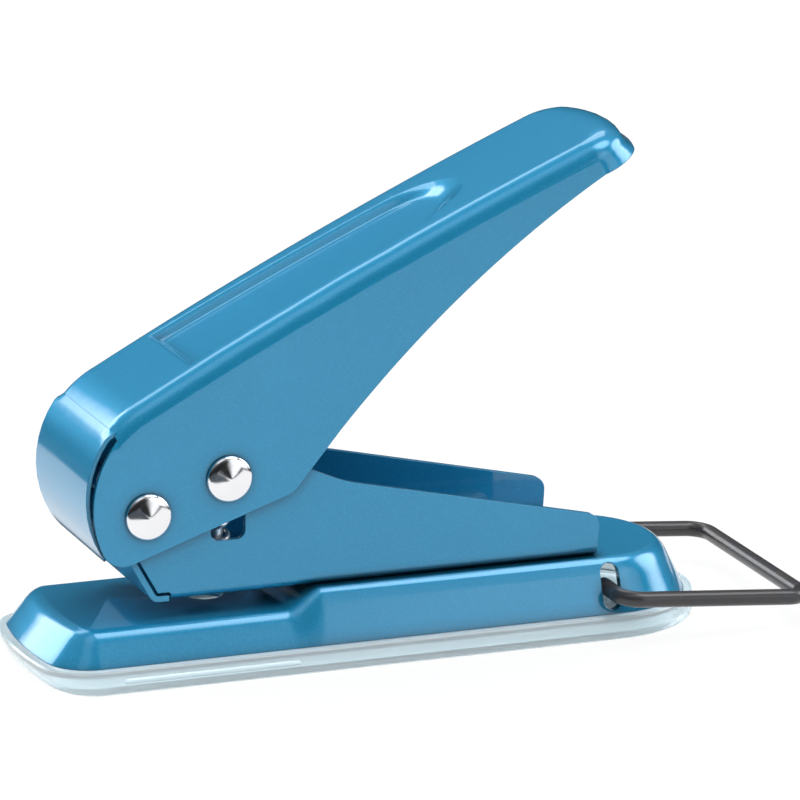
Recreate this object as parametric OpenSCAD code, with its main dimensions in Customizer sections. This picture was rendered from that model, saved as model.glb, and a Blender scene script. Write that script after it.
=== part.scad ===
// Single hole punch: pressed base on a clear chip tray, channel frame, lever handle on two rivets,
// sprung punch and a wire lock bail.
// Millimetres, +Z up. The chip tray stands on Z = 0, the paper mouth faces -X, the bail lies at +X.

/* [Base] */
// Length of the base along X
base_len = 107.4; // [96:0.2:130]
// Width of the base at its lower edge
base_w = 32.2; // [31.4:0.2:44]
// Plan radius of the two front corners
base_corner_r = 7; // [4:0.1:10]
// Plan radius of the bowed front edge
base_bow_r = 66; // [40:1:120]
// Sheet thickness of the base
base_t = 1.2; // [0.8:0.1:1.6]
// Rise of the front table above the lower edge of the base
base_rise = 5.1; // [4.4:0.1:7]
// Run of the sloped sides, from the lower edge to the flat top
base_run = 4.2; // [3.4:0.1:4.4]
// Stretch of that run at the two ends
end_stretch = 1.35; // [1:0.05:1.5]
// Height of the paper mouth, which is also the step up to the rear table
paper_gap = 3; // [1.5:0.1:4]
// Middle of the step along X, where the paper edge stops
step_x = -13; // [-15:0.1:-8]
// Length of the step along X
step_len = 6; // [4:0.5:9]

/* [Chip tray] */
// Height of the tray from its foot to its ledge
tray_h = 3.9; // [3.4:0.1:6]
// Overhang of the tray beyond the base
tray_proud = 1.4; // [0.8:0.1:2.4]
// Wall thickness of the tray
tray_t = 1.2; // [0.8:0.1:1.3]
// Height of the lip that reaches up inside the base
tray_lip_h = 1.2; // [0.8:0.1:1.4]
// Length of the grip bead on each side
bead_len = 27; // [15:1:40]

/* [Frame] */
// Outside width of the channel
frame_w = 23; // [21:0.1:23.4]
// Sheet thickness of the channel
frame_t = 0.9; // [0.8:0.1:1.2]
// Outside radius of the two long bends
frame_bend_r = 1.7; // [1.6:0.1:2.2]
// Rear end of the channel along X
frame_rear_x = 35.8; // [33:0.2:38]
// Wall height at the rear end
frame_rear_h = 6.6; // [5:0.1:9]
// Wall height where the long top edge begins
frame_top_h = 15.9; // [13:0.1:17]
// Wall radius around the pivot
frame_nose_r = 4.3; // [3.6:0.1:4.6]
// Wall radius around the upper end of the drive slot
frame_hump_r = 5; // [4.4:0.1:5.6]
// Forward lean of the paper guide
guide_lean = 29; // [22:1:34]
// Length of the paper guide
guide_len = 8.5; // [6:0.1:9]

/* [Lever] */
// Pivot position along X
pivot_x = -37.9; // [-39:0.1:-36]
// Pivot height above the underside of the channel
pivot_h = 14; // [13:0.1:15.5]
// Distance from the pivot to the drive rivet
drive_arm = 13.6; // [12.6:0.1:14.4]
// Rise of the drive rivet above the pivot, in degrees, at rest
drive_rise = 20.2; // [18:0.1:22]
// Closing stroke of the handle in degrees
close_angle = 33; // [28:0.5:34]

/* [Handle] */
// Sheet thickness of the handle
handle_t = 0.7; // [0.6:0.1:1]
// Rise of the handle at rest, in degrees
handle_rest = 25.4; // [23:0.1:28]
// Reach of the tip from the pivot
handle_reach = 93.4; // [88:0.1:95]
// Height of the crown of the top above the pivot
handle_top = 16.9; // [16.4:0.1:18]
// Radius of the arch of the top
arch_r = 800; // [500:10:1400]
// Outside radius of the bend between the top and the walls
handle_bend_r = 3; // [2:0.1:3.6]
// Outside radius of the rolled nose
nose_r = 16.2; // [15.6:0.1:16.6]
// Corner radius at the lower end of the nose
nose_end_r = 2; // [1:0.5:4]
// Plan radius of the tip corners
tip_corner_r = 4.5; // [4:0.1:6]
// Bow of the tip's end edge
tip_bow = 3; // [1:0.2:4]
// Flare of the lip under the tip
tip_flare = 1.1; // [0.2:0.1:1.6]
// Depth of the walls below the pivot at their lowest corner
wall_drop = 8.5; // [7:0.1:9]
// Depth of the thumb recess in the top
recess_d = 1.2; // [0.6:0.1:1.6]
// Width of the floor of the thumb recess at its front end
recess_w = 15.4; // [12:0.2:16]

/* [Rivets] */
// Diameter of the pivot and drive rivets
rivet_d = 4; // [3.4:0.1:4.4]
// Diameter of their heads
rivet_head_d = 7.1; // [6:0.1:8]
// Height of their heads
rivet_head_h = 1.4; // [0.9:0.1:2]
// Diameter of the rivets that hold the channel on the base
fix_d = 3.6; // [3:0.1:4.2]

/* [Punch] */
// Diameter of the punched hole
punch_d = 6; // [5:0.1:6.5]
// Diameter of the head under the drive rivet
punch_head_d = 9.4; // [8.8:0.1:11]
// Height of that head
punch_head_h = 2.2; // [1.5:0.1:3]

/* [Spring] */
// Wire diameter of the return spring
spring_wire = 0.8; // [0.6:0.05:1]
// Number of turns
spring_turns = 5; // [4:1:6]

/* [Bail] */
// Wire diameter of the bail
bail_wire = 2.5; // [2:0.1:2.6]
// Distance from the bail hinge to its cross bar
bail_reach = 30.9; // [30.5:0.1:34]
// Length of wire inside the base on each side
bail_tail = 4.5; // [3.5:0.1:6]
// Bend radius where a leg turns into the base
bail_elbow_r = 3; // [2.6:0.1:3.4]
// Bend radius at the cross bar
bail_corner_r = 3.2; // [2.6:0.1:6]
// Droop of the lying bail in degrees
bail_drop = 4.9; // [2:0.1:5.5]
// Position of the bail hinge along X
bail_x = 36.5; // [34:0.1:37]

/* [Fits] */
// Radial play of the punch in its guide and die
punch_fit = 0.08; // [0.05:0.01:0.1]
// Radial play of a turning rivet
turn_fit = 0.09; // [0.05:0.01:0.1]
// Radial play of a fixed rivet in its hole
fixed_fit = 0.06; // [0.04:0.01:0.1]
// Play around the drive rivet in the channel slot
slot_fit = 0.35; // [0.25:0.05:0.5]
// Play between the drive rivet and the punch head at rest
drive_fit = 0.1; // [0.06:0.02:0.2]
// Play between the tray lip and the inside of the base
tray_fit = 0.25; // [0.2:0.05:0.4]
// Play of the bail wire in its slot, across the slot
bail_fit = 0.3; // [0.2:0.05:0.4]
// Play between the channel and the handle on each side
side_play = 1; // [0.6:0.05:1.4]
// Play between the rolled nose and the handle wall on each side
nose_play = 0.2; // [0.1:0.05:0.4]
// Gap between the tray and each leg of the bail
leg_gap = 1.25; // [0.8:0.05:2]
// Gap between the paper guide and the channel walls
relief_gap = 0.45; // [0.3:0.05:0.6]
// Step from the rolled nose back to the front edge of the walls
nose_gap = 0.35; // [0.2:0.05:0.6]
// Drop of that edge, which opens the slot at the upper end of the nose
slot_drop = 1.5; // [0.8:0.1:2]

/* [Hidden] */
$fn = 48;

// Heights of the base
base_z = tray_h;
front_z = base_z + base_rise;
rear_z = front_z + paper_gap;

// Plan of the base
base_hw = base_w / 2;
base_front = -base_len / 2;
rear_cx = base_len / 2 - base_hw;
bow_cx = base_front + base_bow_r;
corner_cy = base_hw - base_corner_r;
corner_cx = bow_cx - sqrt(pow(base_bow_r - base_corner_r, 2) - pow(corner_cy, 2));
corner_end = 180 - asin(corner_cy / (base_bow_r - base_corner_r));
step_0 = step_x - step_len / 2;
step_1 = step_x + step_len / 2;
mean_rise = base_rise + paper_gap / 2;

// Lever geometry
pivot_z = rear_z + pivot_h;
drive_x = pivot_x + drive_arm * cos(drive_rise);
drive_z = pivot_z + drive_arm * sin(drive_rise);
drive_far_x = pivot_x + drive_arm;
drive_low_z = pivot_z + drive_arm * sin(drive_rise - close_angle);
punch_x = (drive_x + drive_far_x) / 2;
stroke = drive_z - drive_low_z;

// Channel
web_top = rear_z + frame_t;
frame_hw = frame_w / 2;
frame_top_x = -5.9;
lean_up = [-sin(guide_lean), cos(guide_lean)];
lean_out = [-cos(guide_lean), -sin(guide_lean)];
slot_w = drive_far_x - drive_x + rivet_d + 2 * slot_fit;
slot_top = drive_z + rivet_d / 2 + slot_fit;
slot_low = drive_low_z - rivet_d / 2 - slot_fit;
slot_corner_r = 1.4;
notch_len = 1.3;
notch_h = frame_t + 0.5;
fix_front_x = 8;
fix_rear_x = 27;
fix_head_d = fix_d + 2.6;
fix_head_h = 1.4;
fix_tail_d = fix_d + 2;
fix_tail_h = 0.9;

// Handle, in its own axes: origin at the pivot, first axis along the handle
handle_w = frame_w + 2 * (handle_t + side_play);
handle_hw = handle_w / 2;
nose_w = handle_w - 2 * (handle_t + nose_play);
arch_x = 50;
nose_front = 8.9;
nose_cx = nose_r - nose_front;
nose_cw = handle_top - pow(nose_cx - arch_x, 2) / (2 * arch_r) - nose_r;
skin_x = 1;
skin_lap = 0.5;
plate_lap = 2.5;
plate_drop = 1;
nose_lap = 0.8;
flare_h = 2.5;
slot_step = 0.1;
// Length of the tip's bend for its height, a ratio
tip_stretch = 1.6;
// Angle at which the rolled nose ends, in degrees
nose_end = 192;
// Angle over which the nose loses its crown, in degrees
nose_fade = 9;
wall_front = nose_cx - nose_r + nose_gap;
wall_front_drop = 5.1;
wall_front_r = 3.6;
wall_corner_x = 21.5;
wall_corner_r = 3;
wall_end_x = 86;
wall_end_z = 10.7;
wall_end = [wall_end_x, wall_end_z];
wall_knee_x = 53.4;
wall_knee_z = 7.44;
wall_knee = [wall_knee_x, wall_knee_z];
wall_tail = 5;
wall_tail_drop = 0.5;
recess_x0 = 17.8;
recess_x1 = 62.8;
recess_rear_r = 6;
recess_edge_w = 2.5;
recess_ramp = 9;
cut_past = 1;
cut_span = handle_reach;

// Punch and spring
punch_tip_z = rear_z + 0.4;
punch_top_z = drive_z - rivet_d / 2 - drive_fit;
seat_z = punch_top_z - punch_head_h;
spring_r = punch_d / 2 + spring_wire / 2 + 0.35;
spring_end_gap = 0.03;

// Bail
bail_z = base_z + 3.4;
bail_slot_w = bail_wire + 2 * bail_fit;
bail_slot_low = base_z + 0.6;
bail_slot_top = base_z + 7.4;
bail_half = base_hw + tray_proud + leg_gap + bail_wire / 2;
bail_inner_y = base_hw - bail_tail;

// Shared helper functions

// Adds the mirror image of a half outline that keeps to one side of the middle plane
function whole(half) = concat(half, [for (i = [len(half) - 1:-1:0]) [half[i][0], -half[i][1]]]);
function lift(plan, z) = [for (p = plan) [p[0], p[1], z]];
function flat(lists) = [for (l = lists) for (v = l) v];
function ease(t) = let (c = min(1, max(0, t))) c * c * (3 - 2 * c);
function bezier(a, b, c, t) = (1 - t) * (1 - t) * a + 2 * t * (1 - t) * b + t * t * c;
function cross_of(a, b) = a[0] * b[1] - a[1] * b[0];
function meet(p, d, q, e) = p + d * cross_of(q - p, e) / cross_of(d, e);
function unit(v) = v / norm(v);
function turned(v, a) = [v[0] * cos(a) - v[1] * sin(a), v[0] * sin(a) + v[1] * cos(a)];

// Arc that rounds the corner b between a and c
function round_corner(a, b, c, r, n) = let (
    u = unit(a - b),
    v = unit(c - b),
    half = acos(max(-1, min(1, u * v))) / 2,
    middle = b + unit(u + v) * r / sin(half),
    p = b + u * r / tan(half) - middle,
    q = b + v * r / tan(half) - middle,
    side = sign(p[0] * q[1] - p[1] * q[0])
) [for (i = [0:n]) middle + turned(p, side * (180 - 2 * half) * i / n)];

// Solid between stacked mirrored outlines, lowest first
module loft(rings) {
    n = len(rings[0]);
    last = (len(rings) - 1) * n;
    sides = [for (r = [0:len(rings) - 2]) for (i = [0:n - 1]) let (
        a = r * n + i,
        b = r * n + (i + 1) % n
    ) each [[a, a + n, b + n], [a, b + n, b]]];
    cap = [for (i = [0:n / 2 - 2]) each [[i, n - 1 - i, i + 1], [i + 1, n - 1 - i, n - 2 - i]]];
    low_cap = [for (f = cap) [f[0], f[2], f[1]]];
    high_cap = [for (f = cap) [f[0] + last, f[1] + last, f[2] + last]];
    polyhedron(points = flat(rings), faces = concat(sides, low_cap, high_cap), convexity = 8);
}

// Base outline, inset by d at the sides and by its own values at the two ends
function side_xs() = concat(
    [for (i = [1:7]) rear_cx + (step_1 - rear_cx) * i / 7],
    [for (i = [1:8]) step_1 + (step_0 - step_1) * i / 8],
    [for (i = [1:5]) step_0 + (corner_cx - step_0) * i / 6]
);
function base_half(d, front, rear) = concat(
    [for (i = [0:14]) let (a = 90 * (i + 0.5) / 14.5)
        [rear_cx + (base_hw - rear) * cos(a), (base_hw - d) * sin(a)]],
    [for (x = side_xs()) [x, base_hw - d]],
    [for (i = [0:8]) let (a = 90 + (corner_end - 90) * i / 8)
        [corner_cx + (base_corner_r - front) * cos(a), corner_cy + (base_corner_r - d) * sin(a)]],
    [for (i = [1:5]) let (a = corner_end + (180 - corner_end) * i / 5.5)
        [bow_cx + (base_bow_r - front) * cos(a), (base_bow_r - d) * sin(a)]]
);
function sloped_half(d) = base_half(d, end_stretch * d, end_stretch * d);
function table_rise(x) = base_rise + paper_gap * ease((x - step_0) / step_len);

// Side section of the base: inset and share of the local rise
side_a = [0.45 * base_run, 0.62];
side_b = [0.7 * base_run, 1];
side_c = [base_run, 1];
side_section = concat([[0, 0], side_a / 2], [for (i = [0:6]) bezier(side_a, side_b, side_c, i / 6)]);
function section_slope(i) = let (
    p = side_section[max(0, i - 1)],
    q = side_section[min(len(side_section) - 1, i + 1)]
) i == len(side_section) - 1 ? [1, 0] : unit([q[0] - p[0], (q[1] - p[1]) * mean_rise]);

module base_skin(t) {
    loft([for (i = [0:len(side_section) - 1]) let (
        s = section_slope(i),
        inset = side_section[i][0] + t * s[1]
    ) [for (p = whole(sloped_half(inset)))
        [p[0], p[1], base_z + side_section[i][1] * table_rise(p[0]) - t * s[0]]]]);
}

module bail_slot() {
    r = bail_slot_w / 2;
    rotate([90, 0, 0])
        linear_extrude(height = 2 * base_w, center = true)
            union() {
                translate([bail_x, bail_slot_low + r])
                    circle(r);
                translate([bail_x, bail_slot_top - r])
                    circle(r);
                translate([bail_x - r, bail_slot_low + r])
                    square([2 * r, bail_slot_top - bail_slot_low - 2 * r]);
            }
}

module base() {
    color("steelblue")
        difference() {
            base_skin(0);
            base_skin(base_t);
            translate([punch_x, 0, base_z])
                cylinder(r = punch_d / 2 + punch_fit, h = base_rise + 1);
            for (x = [fix_front_x, fix_rear_x])
                translate([x, 0, base_z])
                    cylinder(r = fix_d / 2 + fixed_fit, h = base_rise + paper_gap + 1);
            bail_slot();
        }
}

// Chip tray: floor, outer wall, ledge under the base and a lip inside the base
lip_out = base_t * section_slope(1)[1] + tray_fit;
lip_lean = side_a[0] / (side_a[1] * base_rise);
lip_root = 0.5;

module tray_band(inset_low, z_low, inset_high, z_high) {
    loft([lift(whole(sloped_half(inset_low)), z_low), lift(whole(sloped_half(inset_high)), z_high)]);
}

// One level of the tray, set in from its widest outline: the front sweeps in under the paper mouth
function tray_ring(d, front, z) =
    lift(whole(base_half(d - tray_proud, front - tray_proud, d - tray_proud)), z);

module tray_bead(side) {
    r = 0.45;
    y = side * (base_hw + tray_proud - 0.05);
    translate([-base_len / 2 + 11, y, tray_h * 0.55])
        rotate([0, 90, 0])
            cylinder(r = r, h = bead_len, $fn = 24);
    for (x = [0, bead_len])
        translate([-base_len / 2 + 11 + x, y, tray_h * 0.55])
            sphere(r = r, $fn = 24);
}

module chip_tray() {
    lip_top = tray_h + tray_lip_h;
    lip_in = lip_out + (tray_lip_h + lip_root) * lip_lean;
    color("lightcyan")
        difference() {
            union() {
                loft([
                    tray_ring(0.8, 2.6, 0),
                    tray_ring(0.2, 1.8, 0.35),
                    tray_ring(0, 1.1, 1),
                    tray_ring(0, 0.4, 2.2),
                    tray_ring(0, 0, tray_h - 0.3),
                    tray_ring(0.25, 0.25, tray_h)
                ]);
                tray_band(lip_out, tray_h - lip_root, lip_in, lip_top);
                tray_bead(1);
                tray_bead(-1);
            }
            loft([
                tray_ring(tray_t + 0.3, tray_t + 1.2, tray_t),
                tray_ring(tray_t, tray_t + 0.4, tray_h - tray_t)
            ]);
            tray_band(lip_out + tray_t, tray_t + 0.2, lip_in + tray_t, lip_top + 0.4);
        }
}

// Channel wall outline, seen from the side
pivot_at = [pivot_x, pivot_z];
hump_at = [punch_x, drive_z];
top_edge_at = [frame_top_x, rear_z + frame_top_h];
link = hump_at - pivot_at;
link_out = turned(unit(link), 90 - asin((frame_hump_r - frame_nose_r) / norm(link)));
link_along = turned(link_out, -90);
fall = hump_at - top_edge_at;
fall_along = turned(unit(fall), -asin(frame_hump_r / norm(fall)));
front_foot = meet(pivot_at + frame_nose_r * lean_out, lean_up, [0, rear_z], [1, 0]);
nose_corner = meet(pivot_at + frame_nose_r * lean_out, lean_up,
    pivot_at + frame_nose_r * link_out, link_along);
hump_corner = meet(hump_at + frame_hump_r * link_out, link_along, top_edge_at, fall_along);
rear_top = [frame_rear_x, rear_z + frame_rear_h];
rear_foot = [frame_rear_x - 0.4, rear_z];
wall_outline = concat(
    [front_foot],
    round_corner(front_foot, nose_corner, hump_corner, frame_nose_r, 14),
    round_corner(nose_corner, hump_corner, top_edge_at, frame_hump_r, 12),
    round_corner(hump_corner, top_edge_at, rear_top, 26, 5),
    round_corner(top_edge_at, rear_top, rear_foot, 2.2, 8),
    [rear_foot]
);

module side_plate(width) {
    rotate([90, 0, 0])
        linear_extrude(height = width, center = true)
            children();
}

module drive_slot() {
    r = slot_corner_r;
    w = slot_w / 2;
    translate([punch_x - w, slot_low + r])
        square([2 * w, slot_top - slot_low - 2 * r]);
    translate([punch_x - w + r, slot_low])
        square([2 * w - 2 * r, slot_top - slot_low]);
    for (x = [punch_x - w + r, punch_x + w - r])
        for (z = [slot_low + r, slot_top - r])
            translate([x, z])
                circle(r);
}

module channel_section(hw, r, low) {
    union() {
        translate([-hw, low + r])
            square([2 * hw, 60]);
        translate([-hw + r, low])
            square([2 * hw - 2 * r, r + 1]);
        for (y = [-hw + r, hw - r])
            translate([y, low + r])
                circle(r);
    }
}

module along_x(x0, x1) {
    translate([x0, 0, 0])
        rotate([90, 0, 90])
            linear_extrude(height = x1 - x0)
                children();
}

// Paper guide: a tab bent up and forward from the front end of the web
guide_r = frame_t + 0.7;
guide_face = pivot_at + (frame_nose_r + relief_gap + frame_t) * lean_out;
guide_at = meet(guide_face - guide_r * lean_out, lean_up, [0, rear_z + guide_r], [1, 0]);
guide_web_x = front_foot[0] + notch_len;
guide_turns = [for (i = [0:8]) 270 - (90 - guide_lean) * i / 8];
guide_outline = concat(
    [[guide_web_x - 0.3, rear_z]],
    [for (a = guide_turns) guide_at + guide_r * [cos(a), sin(a)]],
    [guide_at + guide_r * lean_out + guide_len * lean_up],
    [guide_at + (guide_r - frame_t) * lean_out + guide_len * lean_up],
    [for (i = [8:-1:0]) guide_at + (guide_r - frame_t) * [cos(guide_turns[i]), sin(guide_turns[i])]],
    [[guide_web_x - 0.3, web_top]]
);

module paper_guide() {
    side_plate(frame_w - 0.2)
        polygon(guide_outline);
    side_plate(frame_w - 2 * frame_bend_r)
        translate([guide_web_x - 1, rear_z])
            square([1.6, frame_t]);
}

// Bend relief at the lower front corner of the walls
module bend_relief() {
    r = 0.5;
    translate([front_foot[0] - 10, rear_z - 1])
        square([10 + notch_len - r, notch_h + 1]);
    translate([front_foot[0] - 10, rear_z - 1])
        square([10 + notch_len, notch_h + 1 - r]);
    translate([front_foot[0] + notch_len - r, rear_z + notch_h - r])
        circle(r);
}

module frame() {
    color("cadetblue")
        difference() {
            union() {
                difference() {
                    intersection() {
                        along_x(front_foot[0] - 20, frame_rear_x + 1)
                            channel_section(frame_hw, frame_bend_r, rear_z);
                        side_plate(frame_w + 2)
                            polygon(wall_outline);
                    }
                    along_x(front_foot[0] - 30, frame_rear_x + 10)
                        channel_section(frame_hw - frame_t, frame_bend_r - frame_t, web_top);
                    side_plate(frame_w + 2)
                        bend_relief();
                }
                paper_guide();
            }
            side_plate(frame_w + 2)
                drive_slot();
            side_plate(frame_w + 2)
                translate(pivot_at)
                    circle(rivet_d / 2 + turn_fit);
            translate([punch_x, 0, rear_z - 1])
                cylinder(r = punch_d / 2 + punch_fit, h = frame_t + 2);
            for (x = [fix_front_x, fix_rear_x])
                translate([x, 0, rear_z - 1])
                    cylinder(r = fix_d / 2 + fixed_fit, h = frame_t + 2);
        }
}

module fix_rivet(x) {
    color("silver")
        translate([x, 0, 0])
            rotate_extrude()
                polygon([
                    [0, rear_z - base_t - fix_tail_h],
                    [fix_tail_d / 2 - 0.3, rear_z - base_t - fix_tail_h],
                    [fix_tail_d / 2, rear_z - base_t - fix_tail_h + 0.3],
                    [fix_tail_d / 2, rear_z - base_t],
                    [fix_d / 2, rear_z - base_t],
                    [fix_d / 2, web_top],
                    [fix_head_d / 2, web_top],
                    [fix_head_d / 2, web_top + 0.4 * fix_head_h],
                    [fix_head_d / 2 - 0.9, web_top + 0.85 * fix_head_h],
                    [fix_head_d / 2 - 1.8, web_top + fix_head_h],
                    [0, web_top + fix_head_h]
                ]);
}

module fix_rivet_front() {
    fix_rivet(fix_front_x);
}

module fix_rivet_rear() {
    fix_rivet(fix_rear_x);
}

// Handle
function top_line(u) = u < nose_cx
    ? nose_cw + sqrt(pow(nose_r, 2) - pow(u - nose_cx, 2))
    : handle_top - pow(u - arch_x, 2) / (2 * arch_r);
tip_start = handle_reach - tip_stretch * handle_bend_r - tip_corner_r - tip_bow;
function skin_us() = concat(
    [for (i = [0:17]) tip_start + (nose_cx - tip_start) * i / 17],
    [for (i = [1:5]) nose_cx + (skin_x - nose_cx) * i / 6]
);
function tip_back(y) = tip_bow * pow(y / handle_hw, 2);
function skin_half(t, d, out, front) = let (
    r = tip_corner_r - t - 0.6 * d,
    tip = handle_reach - t - tip_stretch * d,
    corner_y = handle_hw - t - d - r
) concat(
    [for (i = [1:3]) let (y = corner_y * i / 4) [tip + out - tip_back(y), y]],
    [for (i = [0:8]) let (a = 90 * i / 8, y = corner_y + (r + out * cos(a)) * sin(a))
        [tip - r + (r + out * cos(a)) * cos(a) - tip_back(y), y]],
    [for (u = skin_us()) [u, handle_hw - t - d]],
    [[front, handle_hw - t - d]]
);

// One level of the skin: drop below the top line, inset and share of the tip flare
function skin_ring(t, drop, d, share, front) = [for (p = whole(skin_half(t, d, share * tip_flare, front)))
    [p[0], p[1], top_line(p[0]) - t - drop]];

module handle_skin(t, front) {
    r = handle_bend_r - t;
    loft(concat(
        [lift(whole(skin_half(t, 0, tip_flare, front)), -wall_drop - nose_r)],
        [for (f = [[1, 1], [0.6, 0.45], [0.28, 0.12]]) skin_ring(t, r + f[0] * flare_h, 0, f[1], front)],
        [for (i = [0:7]) let (a = 90 * i / 7) skin_ring(t, r * (1 - sin(a)), r * (1 - cos(a)), 0, front)]
    ));
}

// Outline of the side walls, with the top left open
wall_top_left = [wall_front, cut_span];
wall_low_left = [wall_front, -wall_front_drop];
wall_low_right = [wall_corner_x, -wall_drop];
wall_edge = [for (i = [0:24]) bezier(wall_low_right, wall_knee, wall_end, i / 24)];
wall_region = concat(
    [wall_top_left],
    round_corner(wall_top_left, wall_low_left, wall_low_right, wall_front_r, 8),
    round_corner(wall_low_left, wall_low_right, wall_edge[4], wall_corner_r, 6),
    [for (i = [4:24]) wall_edge[i]],
    [[handle_reach + wall_tail, wall_end_z - wall_tail_drop], [handle_reach + wall_tail, cut_span]]
);

// Section across the handle, rounded at the top like the skin
module bend_section(top) {
    half = [for (i = [0:7]) let (a = 90 * i / 7)
        [handle_hw - handle_bend_r * (1 - cos(a)), top - handle_bend_r * (1 - sin(a))]];
    polygon(concat(
        [[handle_hw, -cut_span]],
        half,
        [for (i = [7:-1:0]) [-half[i][0], half[i][1]]],
        [[-handle_hw, -cut_span]]
    ));
}

// Side plates ahead of the skin, behind the rolled nose
module front_plates() {
    intersection() {
        difference() {
            side_plate(handle_w)
                union() {
                    intersection() {
                        polygon(wall_region);
                        union() {
                            translate([nose_cx + nose_gap, nose_cw - slot_drop])
                                circle(nose_r, $fn = 120);
                            translate([wall_front, -cut_span])
                                square([cut_span, nose_cw - slot_drop + cut_span]);
                        }
                        translate([-cut_span, -cut_span])
                            square([cut_span + skin_x, 2 * cut_span]);
                    }
                    intersection() {
                        polygon(wall_region);
                        translate([skin_x - skin_lap, -cut_span])
                            square([
                                skin_lap + plate_lap,
                                cut_span + top_line(skin_x) - handle_bend_r - plate_drop
                            ]);
                    }
                }
            side_plate(handle_w - 2 * handle_t)
                square(2 * cut_span, center = true);
        }
        along_x(-cut_span, cut_span)
            bend_section(top_line(skin_x) - slot_step);
    }
}

// Rolled nose: the top carried round and down as a strip, crowned where it leaves the bends
nose_start = acos((skin_x + nose_lap - nose_cx) / nose_r);
nose_shares = [for (i = [-8:8]) sign(i) * (1 - pow(1 - abs(i) / 8, 1.6))];
nose_at = [nose_cx, nose_cw];
nose_round_at = nose_end - nose_end_r / nose_r * 180 / PI;
function nose_half(a) = let (c = nose_end_r, s = (nose_end - a) * PI / 180 * nose_r)
    nose_w / 2 - (s < c ? c - sqrt(pow(c, 2) - pow(c - s, 2)) : 0);
function crown_drop(y) = let (over = max(0, abs(y) - handle_hw + handle_bend_r))
    handle_bend_r - sqrt(pow(handle_bend_r, 2) - pow(over, 2));
function nose_point(a, depth, share) = let (
    y = share * nose_half(a),
    sunk = depth + crown_drop(y) * (1 - ease((a - nose_start) / nose_fade)),
    p = nose_at + (nose_r - sunk) * [cos(a), sin(a)]
) [p[0], y, p[1]];
function nose_ring(a) = let (sink = 0.02, n = len(nose_shares)) [
    for (i = [0:n - 1]) nose_point(a, sink, nose_shares[i]),
    for (i = [n - 1:-1:0]) nose_point(a, handle_t - sink, nose_shares[i])
];

module rolled_nose() {
    nose_even = nose_start + nose_fade;
    loft(concat(
        [for (i = [0:4]) nose_ring(nose_start + (nose_even - nose_start) * i / 4)],
        [for (i = [1:9]) nose_ring(nose_even + (nose_round_at - nose_even) * i / 9)],
        [for (i = [1:5]) nose_ring(nose_round_at + (nose_end - nose_round_at) * sin(90 * i / 5))]
    ));
}

// Thumb recess outline, grown by a share of its sloped edge, which is a longer ramp at the rear
function recess_half(share) = let (g = share * recess_edge_w) concat(
    [for (i = [0:9]) let (a = 86 * (i + 0.5) / 9.5) [
        recess_x1 - recess_rear_r + (recess_rear_r + share * recess_ramp) * cos(a),
        (recess_rear_r + g) * sin(a)
    ]],
    [for (i = [1:11]) let (s = i / 12) [
        recess_x1 - recess_rear_r + (recess_x0 - recess_x1 + recess_rear_r) * s,
        recess_rear_r + g + (recess_w / 2 - recess_rear_r) * s
    ]],
    [[recess_x0 - g, recess_w / 2 + g]]
);
function recess_ring(share, drop) = [for (p = whole(recess_half(share)))
    [p[0], p[1], top_line(p[0]) - drop]];

// Wall of the recess: shares of the edge and of the depth, from the floor to just above the top
recess_wall = [[0, 1], [0.1, 0.93], [0.2, 0.75], [0.32, 0.45], [0.44, 0.2], [0.6, 0.05], [0.84, -0.16]];
recess_back = [[0.12, 1], [0.28, 0.8], [0.52, 0.45], [0.76, 0.2]];

module recess_pocket() {
    loft([for (p = recess_wall) recess_ring(p[0], p[1] * recess_d)]);
}

module recess_pan() {
    loft(concat(
        [for (p = recess_back) recess_ring(p[0], p[1] * recess_d + handle_t)],
        [recess_ring(0.96, 0.5 * handle_t)]
    ));
}

module in_handle_axes() {
    translate([pivot_x, 0, pivot_z])
        rotate([0, -handle_rest, 0])
            children();
}

module handle() {
    color("steelblue")
        difference() {
            in_handle_axes()
                difference() {
                    union() {
                        intersection() {
                            difference() {
                                handle_skin(0, skin_x);
                                handle_skin(handle_t, skin_x - cut_past);
                            }
                            side_plate(handle_w + 2 * cut_past)
                                polygon(wall_region);
                        }
                        front_plates();
                        rolled_nose();
                        recess_pan();
                    }
                    recess_pocket();
                }
            side_plate(handle_w + 2 * cut_past)
                translate(pivot_at)
                    circle(rivet_d / 2 + fixed_fit);
            side_plate(handle_w + 2 * cut_past)
                translate([drive_x, drive_z])
                    circle(rivet_d / 2 + fixed_fit);
        }
}

// Rivets across the handle, with a shallow cone on each head
module cross_rivet(x, z) {
    r = rivet_head_d / 2;
    color("gainsboro")
        translate([x, 0, z])
            rotate([90, 0, 0]) {
                cylinder(r = rivet_d / 2, h = handle_w + 0.2, center = true);
                for (side = [0, 1])
                    mirror([0, 0, side])
                        translate([0, 0, handle_hw])
                            rotate_extrude()
                                polygon([
                                    [0, 0],
                                    [r, 0],
                                    [r, 0.3 * rivet_head_h],
                                    [r - 0.15, 0.48 * rivet_head_h],
                                    [r - 0.45, 0.6 * rivet_head_h],
                                    [0.5, 0.97 * rivet_head_h],
                                    [0.2, rivet_head_h],
                                    [0, rivet_head_h]
                                ]);
            }
}

module pivot_rivet() {
    cross_rivet(pivot_x, pivot_z);
}

module drive_rivet() {
    cross_rivet(drive_x, drive_z);
}

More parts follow.
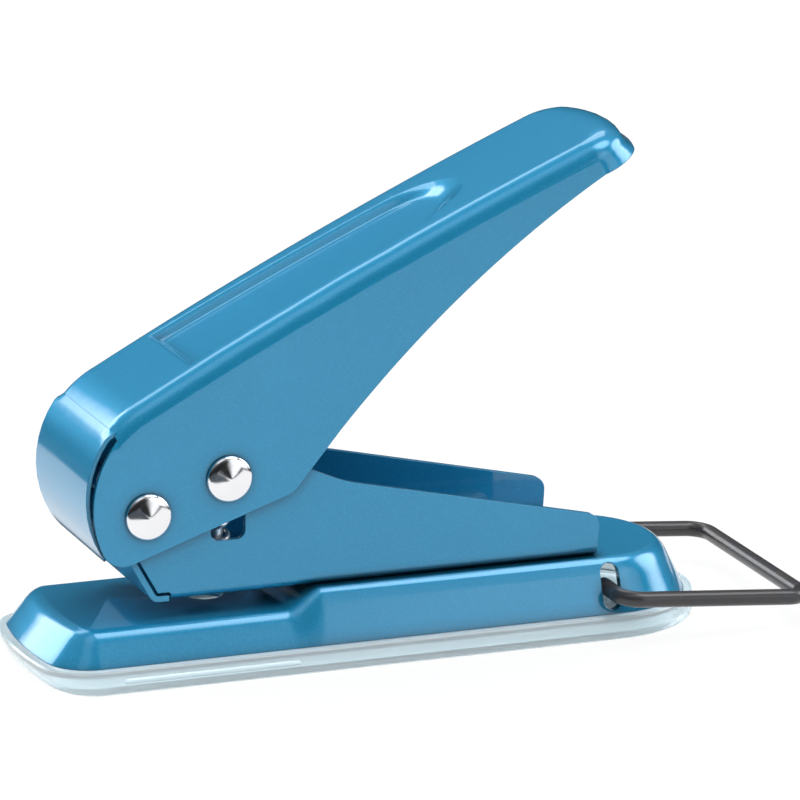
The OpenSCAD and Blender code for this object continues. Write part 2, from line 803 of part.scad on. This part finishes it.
// Punch with a hollow-cut tip
module punch_pin() {
    notch_r = 1.3 * punch_d;
    color("silver")
        difference() {
            union() {
                translate([punch_x, 0, punch_tip_z])
                    cylinder(r = punch_d / 2, h = seat_z - punch_tip_z + 0.5);
                translate([punch_x, 0, 0])
                    rotate_extrude()
                        polygon([[0, seat_z], [punch_head_d / 2, seat_z],
                            [punch_head_d / 2, punch_top_z - 0.5], [punch_head_d / 2 - 0.5, punch_top_z],
                            [0, punch_top_z]]);
            }
            translate([punch_x, 0, punch_tip_z - notch_r + 0.6])
                rotate([90, 0, 0])
                    cylinder(r = notch_r, h = 2 * punch_d, center = true, $fn = 96);
        }
}

// Return spring: one open helix between the web and the punch head
spring_low = web_top + spring_wire / 2 + spring_end_gap;
spring_high = seat_z - spring_wire / 2 - spring_end_gap;
spring_rings = 8 * spring_turns;
function spring_point(k, j) = let (
    a = 360 * k / 8,
    b = 360 * j / 6,
    r = spring_r + spring_wire / 2 * cos(b)
) [punch_x + r * cos(a), r * sin(a),
    spring_low + (spring_high - spring_low) * k / spring_rings + spring_wire / 2 * sin(b)];
spring_points = [for (k = [0:spring_rings]) for (j = [0:5]) spring_point(k, j)];
spring_gap = min([for (k = [0:spring_rings - 8]) for (i = [0:5]) for (j = [0:5])
    norm(spring_point(k, i) - spring_point(k + 8, j))]);
echo(spring_gap = spring_gap, stroke = stroke, spring_length = seat_z - web_top, punch_x = punch_x);

module return_spring() {
    last = spring_rings * 6;
    color("dimgray")
        polyhedron(points = spring_points, faces = concat(
            [[0, 1, 2, 3, 4, 5]],
            [[last + 5, last + 4, last + 3, last + 2, last + 1, last]],
            [for (k = [0:spring_rings - 1]) for (j = [0:5]) let (
                a = 6 * k + j,
                b = 6 * k + (j + 1) % 6
            ) each [[a, a + 6, b + 6], [a, b + 6, b]]]
        ), convexity = 10);
}

// Lock bail: one bent wire
module wire_bend(r) {
    rotate_extrude(angle = 90)
        translate([r, 0])
            circle(bail_wire / 2, $fn = 32);
}

module bail_side() {
    translate([0, bail_inner_y, 0])
        rotate([-90, 0, 0])
            cylinder(r = bail_wire / 2, h = bail_half - bail_elbow_r - bail_inner_y, $fn = 32);
    translate([bail_elbow_r, bail_half - bail_elbow_r, 0])
        rotate([0, 0, 90])
            wire_bend(bail_elbow_r);
    translate([bail_elbow_r, bail_half, 0])
        rotate([0, 90, 0])
            cylinder(r = bail_wire / 2, h = bail_reach - bail_elbow_r - bail_corner_r, $fn = 32);
    translate([bail_reach - bail_corner_r, bail_half - bail_corner_r, 0])
        wire_bend(bail_corner_r);
    translate([bail_reach, -0.2, 0])
        rotate([-90, 0, 0])
            cylinder(r = bail_wire / 2, h = bail_half - bail_corner_r + 0.2, $fn = 32);
}

module lock_bail() {
    color("black")
        translate([bail_x, 0, bail_z])
            rotate([0, bail_drop, 0]) {
                bail_side();
                mirror([0, 1, 0])
                    bail_side();
            }
}

base();
chip_tray();
frame();
fix_rivet_front();
fix_rivet_rear();
handle();
pivot_rivet();
drive_rivet();
punch_pin();
return_spring();
lock_bail();
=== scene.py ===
"""Looks for the single hole punch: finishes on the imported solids, a wound spring, studio light and camera.

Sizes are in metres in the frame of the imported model: +X towards the bail, +Z up, floor at Z = 0.
"""

import math

import bpy
from mathutils import Matrix, Vector


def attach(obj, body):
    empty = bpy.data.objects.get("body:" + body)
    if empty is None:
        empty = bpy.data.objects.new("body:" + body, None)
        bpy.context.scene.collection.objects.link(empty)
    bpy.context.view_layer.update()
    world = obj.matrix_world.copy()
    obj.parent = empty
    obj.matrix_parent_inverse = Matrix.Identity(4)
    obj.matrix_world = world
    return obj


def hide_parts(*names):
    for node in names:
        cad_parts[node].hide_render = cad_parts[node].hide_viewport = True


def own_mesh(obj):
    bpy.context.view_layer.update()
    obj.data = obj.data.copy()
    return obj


MM = 0.001


def grey(value):
    return (value, value, value)


# Camera: fitted to the photograph's 800 x 800 frame
CAMERA_AT = Vector((-299.1, -793.9, 264.8)) * MM
CAMERA_AIM = Vector((7.19, 0.0, 36.55)) * MM
CAMERA_ROLL = math.radians(0.34)
CAMERA_LENS = 259.35
CAMERA_SENSOR = 36.0
CAMERA_CLIP = (0.01, 20.0)

# Colours, linear
BLUE = (0.016, 0.252, 0.462)
BLUE_DEEP = (0.013, 0.232, 0.430)
BLUE_FLAKE = (0.024, 0.292, 0.518)
EDGE_TINT = (0.55, 0.85, 1.0)
CHROME = (0.88, 0.88, 0.90)
STEEL = (0.55, 0.56, 0.58)
STEEL_DARK = grey(0.42)
WIRE_BLACK = (0.031, 0.033, 0.040)
WIRE_BROWN = (0.045, 0.038, 0.034)
TRAY_TINT = (0.84, 0.95, 0.99)
TRAY_SHADOW = (0.9, 0.95, 0.96)
FLOOR_WHITE = (0.93, 0.93, 0.93)
FLOOR_FAR = (0.05, 0.06, 0.07)
SKY_TINT = (0.96, 0.98, 1.0)

# Roughness, from the smoothest to the roughest spots of each finish
PAINT_ROUGH = (0.32, 0.38)
CHROME_ROUGH = (0.09, 0.14)
STEEL_ROUGH = (0.22, 0.4)
WIRE_ROUGH = (0.24, 0.40)
TRAY_ROUGH = (0.04, 0.12)

# Edges look rounded by this much
PAINT_EDGE_R = 0.22 * MM
CHROME_EDGE_R = 0.2 * MM
ROUND_SAMPLES = 6
# Painted shade darkens the paint in hollows: how far it looks for walls, the deepest tone, and how open the darkest
# and lightest are
PAINTED_SHADE_REACH = 2.5 * MM
PAINTED_SHADE_DARKEST = 0.22
PAINTED_SHADE_OPEN = (0.60, 0.96)
# Folds up to this angle are shaded as one curved face
SMOOTH_ANGLE = math.radians(32)
WELD = 2e-6

# Floor: half its width, and how far below the part it lies
FLOOR_HALF = 4.0
FLOOR_SINK = 0.05 * MM
# Reflections see the floor white round this point, up to the first distance and no more beyond the second
NEAR_AT = (0.0, -0.15, 0.0)
NEAR_REACH = (0.32, 0.40)
# Under the body the glow drops away, so that the contact shadow shows
GLOW = 0.88
GLOW_UNDER = 0.86
UNDER_X = (0.038, 0.050)
UNDER_Y = (0.007, 0.014)
# Dim to reflections at the front left, which the rivets show as a dark sector
CORNER_X = (-0.030, -0.014)
CORNER_Y = (-0.115, -0.095)
# Dim to reflections in a strip behind the body, which the paper gap shows
STRIP_X = (0.035, 0.048)
STRIP_NEAR_Y = (0.010, 0.016)
STRIP_FAR_Y = (0.060, 0.075)
# Share of the glow seen through the tray
GLOW_THROUGH = 0.7

# Surroundings: brightness by height, and from front to back
SKY_STOPS = [
    (0.0, grey(0.03)),
    (0.10, grey(0.035)),
    (0.30, grey(0.05)),
    (0.42, grey(0.12)),
    (0.75, grey(0.36)),
    (1.0, grey(0.35)),
]
SKY_FRONT = {"From Min": -0.8, "From Max": 0.6, "To Min": 0.55, "To Max": 1.0}
# Soft bright patches in reflections: direction, inner and outer half angle in degrees, strength
PATCHES = [
    ((-0.484, 0.775, 0.407), 13, 19, 4.8),
    ((0.913, -0.032, 0.407), 12, 22, 5.0),
    ((0.60, -0.78, 0.16), 14, 26, 1.2),
    ((0.433, -0.75, 0.50), 8, 20, 0.7),
    ((-0.25, -0.38, 0.89), 8, 24, 0.8),
    ((0.38, -0.18, 0.91), 12, 22, 4.5),
]
# Soft lights: name, place, width and height, power in watts, and whether reflections show them
LAMP_AIM = (0.0, 0.0, 0.03)
LAMPS = [
    ("top_light", (-0.20, 0.50, 0.95), (1.2, 0.5), 4.2, False),
    ("back_light", (0.0, 0.65, 0.85), (0.9, 0.4), 2.5, True),
    ("over_light", (0.0, 0.0, 1.2), (1.0, 1.0), 4.2, False),
    ("left_light", (-0.95, -0.15, 0.62), (0.8, 0.8), 2.8, False),
    ("front_light", (-0.4, -0.85, 1.05), (1.2, 1.2), 5.6, False),
]

# Return spring, around the punch between the frame's web and the punch head
SPRING_X = -24.718 * MM
SPRING_LOW = 12.91 * MM
SPRING_HIGH = 26.38 * MM
SPRING_MEAN_R = 3.75 * MM
SPRING_WIRE_R = 0.4 * MM
SPRING_TURNS = 5
SPRING_STEPS = 32
SPRING_SIDES = 12


# Node helpers


def new_material(name):
    """A node material with its output and an empty tree."""
    material = bpy.data.materials.new(name)
    material.use_nodes = True
    tree = material.node_tree
    tree.nodes.clear()
    output = tree.nodes.new("ShaderNodeOutputMaterial")
    return material, tree, output


def add(tree, kind, values=None, **settings):
    """A node with its properties and unlinked inputs set."""
    node = tree.nodes.new(kind)
    for key, value in settings.items():
        setattr(node, key, value)
    for key, value in (values or {}).items():
        node.inputs[key].default_value = value
    return node


def link(tree, source, target):
    tree.links.new(source, target)


def rgba(colour):
    return (*colour, 1.0)


def object_space(tree):
    """Object coordinates: patterns sit on the part at any pose."""
    return add(tree, "ShaderNodeTexCoord").outputs["Object"]


def noise(tree, space, **values):
    """A noise texture in the given space."""
    node = add(tree, "ShaderNodeTexNoise", values)
    link(tree, space, node.inputs["Vector"])
    return node.outputs["Fac"]


def ramp(tree, factor, stops):
    """A colour ramp from (position, colour) stops."""
    node = add(tree, "ShaderNodeValToRGB")
    elements = node.color_ramp.elements
    while len(elements) < len(stops):
        elements.new(0.5)
    for element, (position, colour) in zip(elements, stops):
        element.position = position
        element.color = rgba(colour)
    link(tree, factor, node.inputs["Fac"])
    return node.outputs["Color"]


def grey_ramp(tree, factor, places, values):
    """A ramp between two greys."""
    return ramp(tree, factor, [(place, grey(value)) for place, value in zip(places, values)])


def math_node(tree, operation, first, second):
    """A math node whose inputs are sockets or plain numbers."""
    node = add(tree, "ShaderNodeMath", operation=operation)
    for place, value in zip(node.inputs, (first, second)):
        if isinstance(value, (int, float)):
            place.default_value = value
        else:
            link(tree, value, place)
    return node.outputs[0]


def fall_off(tree, value, near, far):
    """1 up to near, easing to 0 at far."""
    node = add(tree, "ShaderNodeMapRange", {"From Min": near, "From Max": far, "To Min": 1.0, "To Max": 0.0},
               interpolation_type="SMOOTHSTEP")
    link(tree, value, node.inputs["Value"])
    return node.outputs["Result"]


# Materials


def gloss_paint(name):
    """Pearl blue enamel: fine flakes under a clear coat, with a faint orange peel and painted shade darkening its
    hollows.
    """
    material, tree, output = new_material(name)
    space = object_space(tree)
    cloud = noise(tree, space, Scale=40.0, Detail=3.0, Roughness=0.55)
    flake = add(tree, "ShaderNodeTexVoronoi", {"Scale": 6500.0, "Randomness": 1.0})
    link(tree, space, flake.inputs["Vector"])
    body = ramp(tree, cloud, [(0.25, BLUE_DEEP), (0.75, BLUE)])
    spark = grey_ramp(tree, flake.outputs["Color"], (0.55, 0.95), (0.0, 1.0))
    mixed = add(tree, "ShaderNodeMix", data_type="RGBA")
    link(tree, spark, mixed.inputs["Factor"])
    link(tree, body, mixed.inputs["A"])
    mixed.inputs["B"].default_value = rgba(BLUE_FLAKE)
    # Painted shade: ambient occlusion darkens the base colour in recesses, creases and gaps between parts
    painted_shade_ao = add(tree, "ShaderNodeAmbientOcclusion", {"Distance": PAINTED_SHADE_REACH}, samples=ROUND_SAMPLES)
    shade = grey_ramp(tree, painted_shade_ao.outputs["AO"], PAINTED_SHADE_OPEN, (PAINTED_SHADE_DARKEST, 1.0))
    shaded = add(tree, "ShaderNodeMix", {"Factor": 1.0}, data_type="RGBA", blend_type="MULTIPLY")
    link(tree, mixed.outputs["Result"], shaded.inputs["A"])
    link(tree, shade, shaded.inputs["B"])
    edge = add(tree, "ShaderNodeBevel", {"Radius": PAINT_EDGE_R}, samples=ROUND_SAMPLES)
    bump = add(tree, "ShaderNodeBump", {"Strength": 0.02, "Distance": 0.4 * MM})
    link(tree, noise(tree, space, Scale=420.0, Detail=2.0), bump.inputs["Height"])
    link(tree, edge.outputs["Normal"], bump.inputs["Normal"])
    shader = add(tree, "ShaderNodeBsdfPrincipled", {
        "Metallic": 0.4,
        "Specular IOR Level": 0.2,
        "Specular Tint": rgba(EDGE_TINT),
        "Coat Weight": 1.0,
        "Coat Roughness": 0.03,
        "Coat IOR": 1.55,
    })
    link(tree, shaded.outputs["Result"], shader.inputs["Base Color"])
    link(tree, grey_ramp(tree, flake.outputs["Color"], (0.0, 1.0), PAINT_ROUGH), shader.inputs["Roughness"])
    link(tree, bump.outputs["Normal"], shader.inputs["Normal"])
    link(tree, bump.outputs["Normal"], shader.inputs["Coat Normal"])
    link(tree, shader.outputs["BSDF"], output.inputs["Surface"])
    return material


def polished_chrome(name):
    """Bright plated rivet: near mirror, with faint handling marks."""
    material, tree, output = new_material(name)
    marks = noise(tree, object_space(tree), Scale=900.0, Detail=4.0)
    edge = add(tree, "ShaderNodeBevel", {"Radius": CHROME_EDGE_R}, samples=ROUND_SAMPLES)
    shader = add(tree, "ShaderNodeBsdfPrincipled", {"Base Color": rgba(CHROME), "Metallic": 1.0})
    link(tree, grey_ramp(tree, marks, (0.3, 0.8), CHROME_ROUGH), shader.inputs["Roughness"])
    link(tree, edge.outputs["Normal"], shader.inputs["Normal"])
    link(tree, shader.outputs["BSDF"], output.inputs["Surface"])
    return material


def turned_steel(name):
    """Turned or drawn steel: fine rings across the upright axis and a satin sheen."""
    material, tree, output = new_material(name)
    stretch = add(tree, "ShaderNodeMapping", {"Scale": (1.0, 1.0, 60.0)})
    link(tree, object_space(tree), stretch.inputs["Vector"])
    rings = noise(tree, stretch.outputs["Vector"], Scale=60.0, Detail=5.0, Roughness=0.7)
    bump = add(tree, "ShaderNodeBump", {"Strength": 0.08, "Distance": 0.2 * MM})
    link(tree, rings, bump.inputs["Height"])
    shader = add(tree, "ShaderNodeBsdfPrincipled", {"Metallic": 1.0})
    link(tree, ramp(tree, rings, [(0.3, STEEL_DARK), (0.7, STEEL)]), shader.inputs["Base Color"])
    link(tree, grey_ramp(tree, rings, (0.2, 0.8), STEEL_ROUGH), shader.inputs["Roughness"])
    link(tree, bump.outputs["Normal"], shader.inputs["Normal"])
    link(tree, shader.outputs["BSDF"], output.inputs["Surface"])
    return material


def black_wire(name):
    """Blackened wire: satin, a little brown in its scuffs."""
    material, tree, output = new_material(name)
    scuff = noise(tree, object_space(tree), Scale=260.0, Detail=5.0, Roughness=0.65)
    shader = add(tree, "ShaderNodeBsdfPrincipled", {"Metallic": 0.2, "Coat Weight": 0.25, "Coat Roughness": 0.2})
    link(tree, ramp(tree, scuff, [(0.35, WIRE_BLACK), (0.75, WIRE_BROWN)]), shader.inputs["Base Color"])
    link(tree, grey_ramp(tree, scuff, (0.2, 0.8), WIRE_ROUGH), shader.inputs["Roughness"])
    link(tree, shader.outputs["BSDF"], output.inputs["Surface"])
    return material


def clear_plastic(name):
    """Clear moulded tray: slightly milky, letting light through to the floor."""
    material, tree, output = new_material(name)
    haze = noise(tree, object_space(tree), Scale=90.0, Detail=3.0)
    bump = add(tree, "ShaderNodeBump", {"Strength": 0.04, "Distance": 0.5 * MM})
    link(tree, haze, bump.inputs["Height"])
    shader = add(tree, "ShaderNodeBsdfPrincipled",
                 {"Base Color": rgba(TRAY_TINT), "Transmission Weight": 0.6, "IOR": 1.46})
    link(tree, grey_ramp(tree, haze, (0.3, 0.8), TRAY_ROUGH), shader.inputs["Roughness"])
    link(tree, bump.outputs["Normal"], shader.inputs["Normal"])
    path = add(tree, "ShaderNodeLightPath")
    see_through = add(tree, "ShaderNodeBsdfTransparent", {"Color": rgba(TRAY_SHADOW)})
    choose = add(tree, "ShaderNodeMixShader")
    link(tree, path.outputs["Is Shadow Ray"], choose.inputs["Fac"])
    link(tree, shader.outputs["BSDF"], choose.inputs[1])
    link(tree, see_through.outputs["BSDF"], choose.inputs[2])
    link(tree, choose.outputs["Shader"], output.inputs["Surface"])
    return material


# Geometry helpers


def smooth_group(angle):
    """Geometry nodes that join split corners and shade smooth up to an angle."""
    tree = bpy.data.node_groups.new(f"smooth_{round(math.degrees(angle))}", "GeometryNodeTree")
    tree.interface.new_socket("Geometry", in_out="INPUT", socket_type="NodeSocketGeometry")
    tree.interface.new_socket("Geometry", in_out="OUTPUT", socket_type="NodeSocketGeometry")
    source = add(tree, "NodeGroupInput")
    result = add(tree, "NodeGroupOutput")
    plain = add(tree, "GeometryNodeRemoveAttribute", {"Name": "custom_normal"})
    weld = add(tree, "GeometryNodeMergeByDistance", {"Distance": WELD})
    fold = add(tree, "GeometryNodeInputMeshEdgeAngle")
    sharp = add(tree, "FunctionNodeCompare", {"B": angle}, data_type="FLOAT", operation="GREATER_THAN")
    faces = add(tree, "GeometryNodeSetShadeSmooth", {"Shade Smooth": True}, domain="FACE")
    edges = add(tree, "GeometryNodeSetShadeSmooth", {"Shade Smooth": False}, domain="EDGE")
    link(tree, source.outputs["Geometry"], plain.inputs["Geometry"])
    link(tree, plain.outputs["Geometry"], weld.inputs["Geometry"])
    link(tree, weld.outputs["Geometry"], faces.inputs["Geometry"])
    link(tree, faces.outputs["Geometry"], edges.inputs["Geometry"])
    link(tree, fold.outputs["Unsigned Angle"], sharp.inputs["A"])
    link(tree, sharp.outputs["Result"], edges.inputs["Selection"])
    link(tree, edges.outputs["Geometry"], result.inputs["Geometry"])
    return tree


def finish_node(name, material, group):
    """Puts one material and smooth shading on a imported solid."""
    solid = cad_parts[name]
    solid.data.materials.clear()
    solid.data.materials.append(material)
    modifier = solid.modifiers.new("smooth", "NODES")
    modifier.node_group = group
    weigh = solid.modifiers.new("weigh", "WEIGHTED_NORMAL")
    weigh.keep_sharp = True
    weigh.mode = "FACE_AREA"


def mesh_object(name, points, faces, material):
    """A smooth mesh in the scene, with one material."""
    mesh = bpy.data.meshes.new(name)
    mesh.from_pydata(points, [], faces)
    mesh.update()
    mesh.materials.append(material)
    mesh.shade_smooth()
    piece = bpy.data.objects.new(name, mesh)
    bpy.context.scene.collection.objects.link(piece)
    return piece


def wound_spring(material):
    """An open helix of round wire, in place of the imported return spring."""
    rings = SPRING_STEPS * SPRING_TURNS
    low = SPRING_LOW + SPRING_WIRE_R
    rise = SPRING_HIGH - SPRING_LOW - 2 * SPRING_WIRE_R
    points = []
    for k in range(rings + 1):
        turn = 2 * math.pi * k / SPRING_STEPS
        height = low + rise * k / rings
        for j in range(SPRING_SIDES):
            roll = 2 * math.pi * j / SPRING_SIDES
            radius = SPRING_MEAN_R + SPRING_WIRE_R * math.cos(roll)
            points.append((SPRING_X + radius * math.cos(turn), radius * math.sin(turn),
                           height + SPRING_WIRE_R * math.sin(roll)))
    faces = [list(range(SPRING_SIDES))[::-1], [rings * SPRING_SIDES + j for j in range(SPRING_SIDES)]]
    for k in range(rings):
        for j in range(SPRING_SIDES):
            a = k * SPRING_SIDES + j
            b = k * SPRING_SIDES + (j + 1) % SPRING_SIDES
            faces.append([a, a + SPRING_SIDES, b + SPRING_SIDES, b][::-1])
    spring = mesh_object("spring_coil", points, faces, material)
    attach(spring, "base")
    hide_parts("return_spring")
    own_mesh(spring)


# Stage


def floor_masks(tree, spot):
    """Where reflections see the floor white, and how strongly the floor glows."""
    reach = add(tree, "ShaderNodeVectorMath", operation="DISTANCE")
    link(tree, spot, reach.inputs[0])
    reach.inputs[1].default_value = NEAR_AT
    split = add(tree, "ShaderNodeSeparateXYZ")
    link(tree, spot, split.inputs["Vector"])
    x, y = split.outputs["X"], split.outputs["Y"]
    side_x = math_node(tree, "ABSOLUTE", x, 0.0)
    side_y = math_node(tree, "ABSOLUTE", y, 0.0)

    under = math_node(tree, "MULTIPLY", fall_off(tree, side_x, *UNDER_X), fall_off(tree, side_y, *UNDER_Y))
    glow = math_node(tree, "SUBTRACT", GLOW, math_node(tree, "MULTIPLY", under, GLOW_UNDER))

    corner = math_node(tree, "MULTIPLY", fall_off(tree, x, *CORNER_X), fall_off(tree, y, *CORNER_Y))
    behind = math_node(tree, "SUBTRACT", fall_off(tree, y, *STRIP_FAR_Y), fall_off(tree, y, *STRIP_NEAR_Y))
    strip = math_node(tree, "MULTIPLY", behind, fall_off(tree, side_x, *STRIP_X))
    white = fall_off(tree, reach.outputs["Value"], *NEAR_REACH)
    for dim in (corner, strip):
        white = math_node(tree, "MULTIPLY", white, math_node(tree, "SUBTRACT", 1.0, dim))
    return white, glow


def white_floor():
    """A pale sheet: white to the camera, dim to reflections far from the object, with the shadow kept under it."""
    material, tree, output = new_material("floor_white")
    path = add(tree, "ShaderNodeLightPath")
    white, glow_share = floor_masks(tree, object_space(tree))
    glossy_near = math_node(tree, "MULTIPLY", path.outputs["Is Glossy Ray"], white)
    glossy_far = math_node(tree, "SUBTRACT", path.outputs["Is Glossy Ray"], glossy_near)
    through = math_node(tree, "MULTIPLY", path.outputs["Is Transmission Ray"], GLOW_THROUGH)
    direct = math_node(tree, "MAXIMUM", path.outputs["Is Camera Ray"], through)
    seen = math_node(tree, "MAXIMUM", direct, glossy_near)
    paper_tone = add(tree, "ShaderNodeMix", data_type="RGBA")
    link(tree, glossy_far, paper_tone.inputs["Factor"])
    paper_tone.inputs["A"].default_value = rgba(FLOOR_WHITE)
    paper_tone.inputs["B"].default_value = rgba(FLOOR_FAR)
    paper = add(tree, "ShaderNodeBsdfDiffuse")
    link(tree, paper_tone.outputs["Result"], paper.inputs["Color"])
    glow = add(tree, "ShaderNodeEmission", {"Color": rgba(grey(1.0)), "Strength": 1.0})
    blend = add(tree, "ShaderNodeMixShader")
    link(tree, math_node(tree, "MULTIPLY", seen, glow_share), blend.inputs["Fac"])
    link(tree, paper.outputs["BSDF"], blend.inputs[1])
    link(tree, glow.outputs["Emission"], blend.inputs[2])
    link(tree, blend.outputs["Shader"], output.inputs["Surface"])
    half = FLOOR_HALF
    corners = [(-half, -half, 0), (half, -half, 0), (half, half, 0), (-half, half, 0)]
    floor = mesh_object("floor", corners, [[0, 1, 2, 3]], material)
    floor.location.z = -FLOOR_SINK


def studio_world():
    """Soft surroundings: bright overhead and behind, dim low and in front, white where the camera looks."""
    world = bpy.data.worlds.new("studio")
    world.use_nodes = True
    tree = world.node_tree
    tree.nodes.clear()
    output = add(tree, "ShaderNodeOutputWorld")
    place = add(tree, "ShaderNodeTexCoord")
    split = add(tree, "ShaderNodeSeparateXYZ")
    link(tree, place.outputs["Generated"], split.inputs["Vector"])
    sky = ramp(tree, split.outputs["Z"], SKY_STOPS)
    back = add(tree, "ShaderNodeMapRange", SKY_FRONT)
    link(tree, split.outputs["Y"], back.inputs["Value"])
    total = math_node(tree, "MULTIPLY", sky, back.outputs["Result"])
    path = add(tree, "ShaderNodeLightPath")
    mirrored = math_node(tree, "SUBTRACT", 1.0, path.outputs["Is Diffuse Ray"])
    for direction, inner, outer, strength in PATCHES:
        towards = add(tree, "ShaderNodeVectorMath", operation="DOT_PRODUCT")
        link(tree, place.outputs["Generated"], towards.inputs[0])
        towards.inputs[1].default_value = Vector(direction).normalized()
        inner_cos, outer_cos = math.cos(math.radians(inner)), math.cos(math.radians(outer))
        rest = fall_off(tree, towards.outputs["Value"], outer_cos, inner_cos)
        patch = math_node(tree, "MULTIPLY", math_node(tree, "SUBTRACT", 1.0, rest), strength)
        total = math_node(tree, "ADD", total, math_node(tree, "MULTIPLY", patch, mirrored))
    light = add(tree, "ShaderNodeBackground", {"Color": rgba(SKY_TINT)})
    link(tree, total, light.inputs["Strength"])
    white = add(tree, "ShaderNodeBackground", {"Color": rgba(grey(1.0)), "Strength": 1.0})
    blend = add(tree, "ShaderNodeMixShader")
    link(tree, path.outputs["Is Camera Ray"], blend.inputs["Fac"])
    link(tree, light.outputs["Background"], blend.inputs[1])
    link(tree, white.outputs["Background"], blend.inputs[2])
    link(tree, blend.outputs["Shader"], output.inputs["Surface"])
    bpy.context.scene.world = world


def soft_box(name, at, size, power, mirrored):
    """A rectangular soft light on the part, which reflections may or may not show."""
    lamp = bpy.data.lights.new(name, "AREA")
    lamp.shape = "RECTANGLE"
    lamp.size, lamp.size_y = size
    lamp.energy = power
    holder = bpy.data.objects.new(name, lamp)
    bpy.context.scene.collection.objects.link(holder)
    holder.location = at
    holder.visible_glossy = mirrored
    holder.rotation_mode = "QUATERNION"
    holder.rotation_quaternion = (Vector(LAMP_AIM) - Vector(at)).to_track_quat("-Z", "Y")


def photo_camera():
    """The camera of the photograph."""
    camera = bpy.data.cameras.new("camera")
    camera.lens = CAMERA_LENS
    camera.sensor_width = CAMERA_SENSOR
    camera.clip_start, camera.clip_end = CAMERA_CLIP
    holder = bpy.data.objects.new("camera", camera)
    bpy.context.scene.collection.objects.link(holder)
    turn = (CAMERA_AIM - CAMERA_AT).to_track_quat("-Z", "Y").to_matrix() @ Matrix.Rotation(CAMERA_ROLL, 3, "Z")
    holder.matrix_world = Matrix.Translation(CAMERA_AT) @ turn.to_4x4()
    bpy.context.scene.camera = holder


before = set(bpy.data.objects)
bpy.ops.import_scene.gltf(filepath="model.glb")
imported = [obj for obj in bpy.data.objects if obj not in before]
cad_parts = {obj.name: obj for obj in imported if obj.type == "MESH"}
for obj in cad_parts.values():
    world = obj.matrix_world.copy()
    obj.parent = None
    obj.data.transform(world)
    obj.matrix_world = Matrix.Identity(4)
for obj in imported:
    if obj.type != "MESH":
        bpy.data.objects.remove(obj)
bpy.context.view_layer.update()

paint = gloss_paint("blue_enamel")
chrome = polished_chrome("rivet_chrome")
steel = turned_steel("turned_steel")
smooth = smooth_group(SMOOTH_ANGLE)
for node in ("handle", "base", "frame"):
    finish_node(node, paint, smooth)
for node in ("pivot_rivet", "drive_rivet"):
    finish_node(node, chrome, smooth)
for node in ("fix_rivet_front", "fix_rivet_rear", "punch_pin"):
    finish_node(node, steel, smooth)
finish_node("lock_bail", black_wire("black_wire"), smooth)
finish_node("chip_tray", clear_plastic("clear_plastic"), smooth)
wound_spring(steel)

white_floor()
studio_world()
for lamp_values in LAMPS:
    soft_box(*lamp_values)
photo_camera()
bpy.context.scene.view_settings.view_transform = "Standard"
